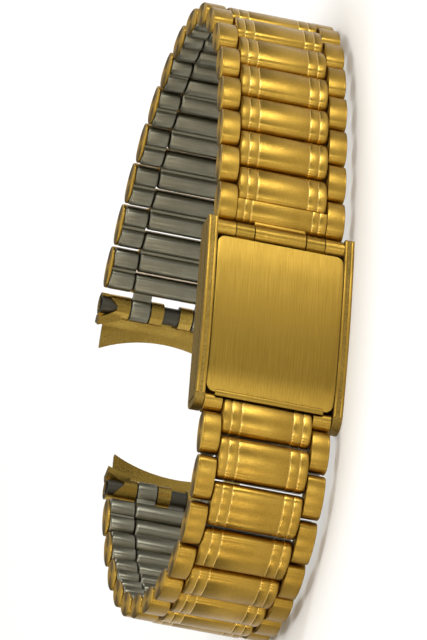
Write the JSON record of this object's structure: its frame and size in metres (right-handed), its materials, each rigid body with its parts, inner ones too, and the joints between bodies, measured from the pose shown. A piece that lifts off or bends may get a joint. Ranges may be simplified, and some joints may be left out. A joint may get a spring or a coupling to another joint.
{
  "type": "link watch bracelet",
  "caption": "Folded-link watch bracelet with a brick pattern of domed links, a flip-cover adjustable clasp and formed end pieces for the watch case.",
  "frame": {"origin": "on the outer face of the clasp's lower side rail, at the clasp's middle and on the line of its pins", "axes": "+Z across the band, along every pin; +X along the clasp towards the upper strap; +Y from the clasp towards the watch"},
  "size_m": [0.0837, 0.061, 0.018],
  "materials": {
    "gold_satin": "satin",
    "gold_brushed": "brushed",
    "steel_grey": "satin"
  },
  "bodies": {
    "clasp_frame": {"clasp_frame": "gold_satin"},
    "clasp_cover": {"clasp_cover": "gold_brushed"},
    "clasp_tongue": {"clasp_tongue": "steel_grey"},
    "upper_first_link": {"upper_first_link": "gold_satin"},
    "upper_centre_1": {"upper_centre_1": "gold_satin"},
    "upper_side_pair_1": {"upper_side_pair_1": "gold_satin"},
    "upper_centre_2": {"upper_centre_2": "gold_satin"},
    "upper_side_pair_2": {"upper_side_pair_2": "gold_satin"},
    "upper_centre_3": {"upper_centre_3": "gold_satin"},
    "upper_side_pair_3": {"upper_side_pair_3": "gold_satin"},
    "upper_centre_4": {"upper_centre_4": "gold_satin"},
    "upper_side_pair_4": {"upper_side_pair_4": "gold_satin"},
    "upper_centre_5": {"upper_centre_5": "gold_satin"},
    "upper_side_pair_5": {"upper_side_pair_5": "gold_satin"},
    "upper_centre_6": {"upper_centre_6": "gold_satin"},
    "upper_side_pair_6": {"upper_side_pair_6": "gold_satin"},
    "upper_centre_7": {"upper_centre_7": "gold_satin"},
    "upper_side_pair_7": {"upper_side_pair_7": "gold_satin"},
    "upper_centre_8": {"upper_centre_8": "gold_satin"},
    "upper_side_pair_8": {"upper_side_pair_8": "gold_satin"},
    "upper_centre_9": {"upper_centre_9": "gold_satin"},
    "upper_side_pair_9": {"upper_side_pair_9": "gold_satin"},
    "upper_centre_10": {"upper_centre_10": "gold_satin"},
    "upper_side_pair_10": {"upper_side_pair_10": "gold_satin"},
    "upper_centre_11": {"upper_centre_11": "gold_satin"},
    "upper_side_pair_11": {"upper_side_pair_11": "gold_satin"},
    "upper_centre_12": {"upper_centre_12": "gold_satin"},
    "upper_side_pair_12": {"upper_side_pair_12": "gold_satin"},
    "upper_centre_13": {"upper_centre_13": "gold_satin"},
    "upper_side_pair_13": {"upper_side_pair_13": "gold_satin"},
    "upper_centre_14": {"upper_centre_14": "gold_satin"},
    "upper_side_pair_14": {"upper_side_pair_14": "gold_satin"},
    "upper_centre_15": {"upper_centre_15": "gold_satin"},
    "upper_last_link": {"upper_last_link": "gold_satin"},
    "upper_end_piece": {"upper_end_piece": "gold_satin"},
    "lower_centre_1": {"lower_centre_1": "gold_satin"},
    "lower_side_pair_1": {"lower_side_pair_1": "gold_satin"},
    "lower_centre_2": {"lower_centre_2": "gold_satin"},
    "lower_side_pair_2": {"lower_side_pair_2": "gold_satin"},
    "lower_centre_3": {"lower_centre_3": "gold_satin"},
    "lower_side_pair_3": {"lower_side_pair_3": "gold_satin"},
    "lower_centre_4": {"lower_centre_4": "gold_satin"},
    "lower_side_pair_4": {"lower_side_pair_4": "gold_satin"},
    "lower_centre_5": {"lower_centre_5": "gold_satin"},
    "lower_side_pair_5": {"lower_side_pair_5": "gold_satin"},
    "lower_centre_6": {"lower_centre_6": "gold_satin"},
    "lower_side_pair_6": {"lower_side_pair_6": "gold_satin"},
    "lower_centre_7": {"lower_centre_7": "gold_satin"},
    "lower_side_pair_7": {"lower_side_pair_7": "gold_satin"},
    "lower_centre_8": {"lower_centre_8": "gold_satin"},
    "lower_side_pair_8": {"lower_side_pair_8": "gold_satin"},
    "lower_centre_9": {"lower_centre_9": "gold_satin"},
    "lower_side_pair_9": {"lower_side_pair_9": "gold_satin"},
    "lower_centre_10": {"lower_centre_10": "gold_satin"},
    "lower_side_pair_10": {"lower_side_pair_10": "gold_satin"},
    "lower_centre_11": {"lower_centre_11": "gold_satin"},
    "lower_side_pair_11": {"lower_side_pair_11": "gold_satin"},
    "lower_centre_12": {"lower_centre_12": "gold_satin"},
    "lower_last_link": {"lower_last_link": "gold_satin"},
    "lower_end_piece": {"lower_end_piece": "gold_satin"}
  },
  "joints": [
    {"name": "cover_flip", "type": "hinge", "parent": "clasp_frame", "child": "clasp_cover", "pos_m": [0.012, 0, 0.009], "axis": [0, 0, 1], "range_deg": [0, 100]},
    {"name": "tongue_slide", "type": "slide", "parent": "clasp_frame", "child": "clasp_tongue", "axis": [-1, 0, 0], "range_m": [0, 0.004]},
    {"name": "upper_hinge", "type": "hinge", "parent": "clasp_frame", "child": "upper_first_link", "pos_m": [0.012, 0, 0.009], "axis": [0, 0, 1], "range_deg": [-20, 10]},
    {"name": "upper_pin_1", "type": "hinge", "parent": "upper_first_link", "child": "upper_centre_1", "pos_m": [0.01747, 0.00057, 0.009], "axis": [0, 0, -1], "range_deg": [-12.9, 5.1]},
    {"name": "upper_pin_2", "type": "hinge", "parent": "upper_centre_1", "child": "upper_side_pair_1", "pos_m": [0.0202, 0.00091, 0.009], "axis": [0, 0, 1], "range_deg": [-5.18, 12.82]},
    {"name": "upper_pin_3", "type": "hinge", "parent": "upper_side_pair_1", "child": "upper_centre_2", "pos_m": [0.02292, 0.00131, 0.009], "axis": [0, 0, -1], "range_deg": [-12.68, 5.32]},
    {"name": "upper_pin_4", "type": "hinge", "parent": "upper_centre_2", "child": "upper_side_pair_2", "pos_m": [0.02563, 0.00177, 0.009], "axis": [0, 0, 1], "range_deg": [-5.54, 12.46]},
    {"name": "upper_pin_5", "type": "hinge", "parent": "upper_side_pair_2", "child": "upper_centre_3", "pos_m": [0.02833, 0.0023, 0.009], "axis": [0, 0, -1], "range_deg": [-12.13, 5.87]},
    {"name": "upper_pin_6", "type": "hinge", "parent": "upper_centre_3", "child": "upper_side_pair_3", "pos_m": [0.03101, 0.00292, 0.009], "axis": [0, 0, 1], "range_deg": [-6.32, 11.68]},
    {"name": "upper_pin_7", "type": "hinge", "parent": "upper_side_pair_3", "child": "upper_centre_4", "pos_m": [0.03366, 0.00365, 0.009], "axis": [0, 0, -1], "range_deg": [-11.07, 6.93]},
    {"name": "upper_pin_8", "type": "hinge", "parent": "upper_centre_4", "child": "upper_side_pair_4", "pos_m": [0.03627, 0.00451, 0.009], "axis": [0, 0, 1], "range_deg": [-7.68, 10.32]},
    {"name": "upper_pin_9", "type": "hinge", "parent": "upper_side_pair_4", "child": "upper_centre_5", "pos_m": [0.03882, 0.00554, 0.009], "axis": [0, 0, -1], "range_deg": [-9.44, 8.56]},
    {"name": "upper_pin_10", "type": "hinge", "parent": "upper_centre_5", "child": "upper_side_pair_5", "pos_m": [0.04128, 0.00677, 0.009], "axis": [0, 0, 1], "range_deg": [-9.51, 8.49]},
    {"name": "upper_pin_11", "type": "hinge", "parent": "upper_side_pair_5", "child": "upper_centre_6", "pos_m": [0.04362, 0.00822, 0.009], "axis": [0, 0, -1], "range_deg": [-7.52, 10.48]},
    {"name": "upper_pin_12", "type": "hinge", "parent": "upper_centre_6", "child": "upper_side_pair_6", "pos_m": [0.04577, 0.00994, 0.009], "axis": [0, 0, 1], "range_deg": [-11.39, 6.61]},
    {"name": "upper_pin_13", "type": "hinge", "parent": "upper_side_pair_6", "child": "upper_centre_7", "pos_m": [0.04768, 0.01191, 0.009], "axis": [0, 0, -1], "range_deg": [-5.84, 12.16]},
    {"name": "upper_pin_14", "type": "hinge", "parent": "upper_centre_7", "child": "upper_side_pair_7", "pos_m": [0.0493, 0.01414, 0.009], "axis": [0, 0, 1], "range_deg": [-12.71, 5.29]},
    {"name": "upper_pin_15", "type": "hinge", "parent": "upper_side_pair_7", "child": "upper_centre_8", "pos_m": [0.05055, 0.01658, 0.009], "axis": [0, 0, -1], "range_deg": [-5.04, 12.96]},
    {"name": "upper_pin_16", "type": "hinge", "parent": "upper_centre_8", "child": "upper_side_pair_8", "pos_m": [0.05142, 0.01919, 0.009], "axis": [0, 0, 1], "range_deg": [-12.85, 5.15]},
    {"name": "upper_pin_17", "type": "hinge", "parent": "upper_side_pair_8", "child": "upper_centre_9", "pos_m": [0.05187, 0.02191, 0.009], "axis": [0, 0, -1], "range_deg": [-5.59, 12.41]},
    {"name": "upper_pin_18", "type": "hinge", "parent": "upper_centre_9", "child": "upper_side_pair_9", "pos_m": [0.05192, 0.02466, 0.009], "axis": [0, 0, 1], "range_deg": [-11.71, 6.29]},
    {"name": "upper_pin_19", "type": "hinge", "parent": "upper_side_pair_9", "child": "upper_centre_10", "pos_m": [0.05159, 0.02739, 0.009], "axis": [0, 0, -1], "range_deg": [-7.13, 10.87]},
    {"name": "upper_pin_20", "type": "hinge", "parent": "upper_centre_10", "child": "upper_side_pair_10", "pos_m": [0.05095, 0.03006, 0.009], "axis": [0, 0, 1], "range_deg": [-9.99, 8.01]},
    {"name": "upper_pin_21", "type": "hinge", "parent": "upper_side_pair_10", "child": "upper_centre_11", "pos_m": [0.05003, 0.03265, 0.009], "axis": [0, 0, -1], "range_deg": [-8.82, 9.18]},
    {"name": "upper_pin_22", "type": "hinge", "parent": "upper_centre_11", "child": "upper_side_pair_11", "pos_m": [0.04888, 0.03515, 0.009], "axis": [0, 0, 1], "range_deg": [-8.47, 9.53]},
    {"name": "upper_pin_23", "type": "hinge", "parent": "upper_side_pair_11", "child": "upper_centre_12", "pos_m": [0.04754, 0.03755, 0.009], "axis": [0, 0, -1], "range_deg": [-10.09, 7.91]},
    {"name": "upper_pin_24", "type": "hinge", "parent": "upper_centre_12", "child": "upper_side_pair_12", "pos_m": [0.04603, 0.03985, 0.009], "axis": [0, 0, 1], "range_deg": [-7.49, 10.51]},
    {"name": "upper_pin_25", "type": "hinge", "parent": "upper_side_pair_12", "child": "upper_centre_13", "pos_m": [0.04439, 0.04206, 0.009], "axis": [0, 0, -1], "range_deg": [-10.81, 7.19]},
    {"name": "upper_pin_26", "type": "hinge", "parent": "upper_centre_13", "child": "upper_side_pair_13", "pos_m": [0.04263, 0.04417, 0.009], "axis": [0, 0, 1], "range_deg": [-6.99, 11.01]},
    {"name": "upper_pin_27", "type": "hinge", "parent": "upper_side_pair_13", "child": "upper_centre_14", "pos_m": [0.04077, 0.04619, 0.009], "axis": [0, 0, -1], "range_deg": [-11.14, 6.86]},
    {"name": "upper_pin_28", "type": "hinge", "parent": "upper_centre_14", "child": "upper_side_pair_14", "pos_m": [0.0388, 0.04811, 0.009], "axis": [0, 0, 1], "range_deg": [-6.79, 11.21]},
    {"name": "upper_pin_29", "type": "hinge", "parent": "upper_side_pair_14", "child": "upper_centre_15", "pos_m": [0.03674, 0.04994, 0.009], "axis": [0, 0, -1], "range_deg": [-11.26, 6.75]},
    {"name": "upper_pin_30", "type": "hinge", "parent": "upper_centre_15", "child": "upper_last_link", "pos_m": [0.0346, 0.05166, 0.009], "axis": [0, 0, 1], "range_deg": [-6.72, 11.28]},
    {"name": "upper_case_hinge", "type": "hinge", "parent": "upper_last_link", "child": "upper_end_piece", "pos_m": [0.02965, 0.05527, 0.009], "axis": [0, 0, 1], "range_deg": [-25, 25]},
    {"name": "lower_hinge", "type": "hinge", "parent": "clasp_tongue", "child": "lower_centre_1", "pos_m": [-0.0112, 0, 0.009], "axis": [0, 0, 1], "range_deg": [-19, 10]},
    {"name": "lower_pin_1", "type": "hinge", "parent": "lower_centre_1", "child": "lower_side_pair_1", "pos_m": [-0.01394, -0.00024, 0.009], "axis": [0, 0, -1], "range_deg": [-11.25, 6.75]},
    {"name": "lower_pin_2", "type": "hinge", "parent": "lower_side_pair_1", "child": "lower_centre_2", "pos_m": [-0.01669, -0.00013, 0.009], "axis": [0, 0, 1], "range_deg": [-5.22, 12.78]},
    {"name": "lower_pin_3", "type": "hinge", "parent": "lower_centre_2", "child": "lower_side_pair_2", "pos_m": [-0.01939, 0.00039, 0.009], "axis": [0, 0, -1], "range_deg": [-14.65, 3.35]},
    {"name": "lower_pin_4", "type": "hinge", "parent": "lower_side_pair_2", "child": "lower_centre_3", "pos_m": [-0.02194, 0.00141, 0.009], "axis": [0, 0, 1], "range_deg": [-1.67, 16.34]},
    {"name": "lower_pin_5", "type": "hinge", "parent": "lower_centre_3", "child": "lower_side_pair_3", "pos_m": [-0.02422, 0.00295, 0.009], "axis": [0, 0, -1], "range_deg": [-17.18, 0.82]},
    {"name": "lower_pin_6", "type": "hinge", "parent": "lower_side_pair_3", "child": "lower_centre_4", "pos_m": [-0.02609, 0.00497, 0.009], "axis": [0, 0, 1], "range_deg": [-1.2, 16.8]},
    {"name": "lower_pin_7", "type": "hinge", "parent": "lower_centre_4", "child": "lower_side_pair_4", "pos_m": [-0.02747, 0.00735, 0.009], "axis": [0, 0, -1], "range_deg": [-15.39, 2.61]},
    {"name": "lower_pin_8", "type": "hinge", "parent": "lower_side_pair_4", "child": "lower_centre_5", "pos_m": [-0.02834, 0.00995, 0.009], "axis": [0, 0, 1], "range_deg": [-4.49, 13.51]},
    {"name": "lower_pin_9", "type": "hinge", "parent": "lower_centre_5", "child": "lower_side_pair_5", "pos_m": [-0.02878, 0.01267, 0.009], "axis": [0, 0, -1], "range_deg": [-11.8, 6.2]},
    {"name": "lower_pin_10", "type": "hinge", "parent": "lower_side_pair_5", "child": "lower_centre_6", "pos_m": [-0.02884, 0.01542, 0.009], "axis": [0, 0, 1], "range_deg": [-7.41, 10.59]},
    {"name": "lower_pin_11", "type": "hinge", "parent": "lower_centre_6", "child": "lower_side_pair_6", "pos_m": [-0.02859, 0.01816, 0.009], "axis": [0, 0, -1], "range_deg": [-9.9, 8.1]},
    {"name": "lower_pin_12", "type": "hinge", "parent": "lower_side_pair_6", "child": "lower_centre_7", "pos_m": [-0.02805, 0.02085, 0.009], "axis": [0, 0, 1], "range_deg": [-8.42, 9.58]},
    {"name": "lower_pin_13", "type": "hinge", "parent": "lower_centre_7", "child": "lower_side_pair_7", "pos_m": [-0.02726, 0.02349, 0.009], "axis": [0, 0, -1], "range_deg": [-9.45, 8.55]},
    {"name": "lower_pin_14", "type": "hinge", "parent": "lower_side_pair_7", "child": "lower_centre_8", "pos_m": [-0.02622, 0.02603, 0.009], "axis": [0, 0, 1], "range_deg": [-8.59, 9.41]},
    {"name": "lower_pin_15", "type": "hinge", "parent": "lower_centre_8", "child": "lower_side_pair_8", "pos_m": [-0.02495, 0.02847, 0.009], "axis": [0, 0, -1], "range_deg": [-9.4, 8.6]},
    {"name": "lower_pin_16", "type": "hinge", "parent": "lower_side_pair_8", "child": "lower_centre_9", "pos_m": [-0.02345, 0.03078, 0.009], "axis": [0, 0, 1], "range_deg": [-8.6, 9.4]},
    {"name": "lower_pin_17", "type": "hinge", "parent": "lower_centre_9", "child": "lower_side_pair_9", "pos_m": [-0.02174, 0.03293, 0.009], "axis": [0, 0, -1], "range_deg": [-9.4, 8.6]},
    {"name": "lower_pin_18", "type": "hinge", "parent": "lower_side_pair_9", "child": "lower_centre_10", "pos_m": [-0.01983, 0.03491, 0.009], "axis": [0, 0, 1], "range_deg": [-8.6, 9.4]},
    {"name": "lower_pin_19", "type": "hinge", "parent": "lower_centre_10", "child": "lower_side_pair_10", "pos_m": [-0.01775, 0.03671, 0.009], "axis": [0, 0, -1], "range_deg": [-9.4, 8.6]},
    {"name": "lower_pin_20", "type": "hinge", "parent": "lower_side_pair_10", "child": "lower_centre_11", "pos_m": [-0.01551, 0.0383, 0.009], "axis": [0, 0, 1], "range_deg": [-8.6, 9.4]},
    {"name": "lower_pin_21", "type": "hinge", "parent": "lower_centre_11", "child": "lower_side_pair_11", "pos_m": [-0.01312, 0.03967, 0.009], "axis": [0, 0, -1], "range_deg": [-9.4, 8.6]},
    {"name": "lower_pin_22", "type": "hinge", "parent": "lower_side_pair_11", "child": "lower_centre_12", "pos_m": [-0.01062, 0.04082, 0.009], "axis": [0, 0, 1], "range_deg": [-8.6, 9.4]},
    {"name": "lower_pin_23", "type": "hinge", "parent": "lower_centre_12", "child": "lower_last_link", "pos_m": [-0.00803, 0.04172, 0.009], "axis": [0, 0, -1], "range_deg": [-9.4, 8.6]},
    {"name": "lower_case_hinge", "type": "hinge", "parent": "lower_last_link", "child": "lower_end_piece", "pos_m": [-0.00208, 0.04318, 0.009], "axis": [0, 0, -1], "range_deg": [-25, 25]}
  ]
}
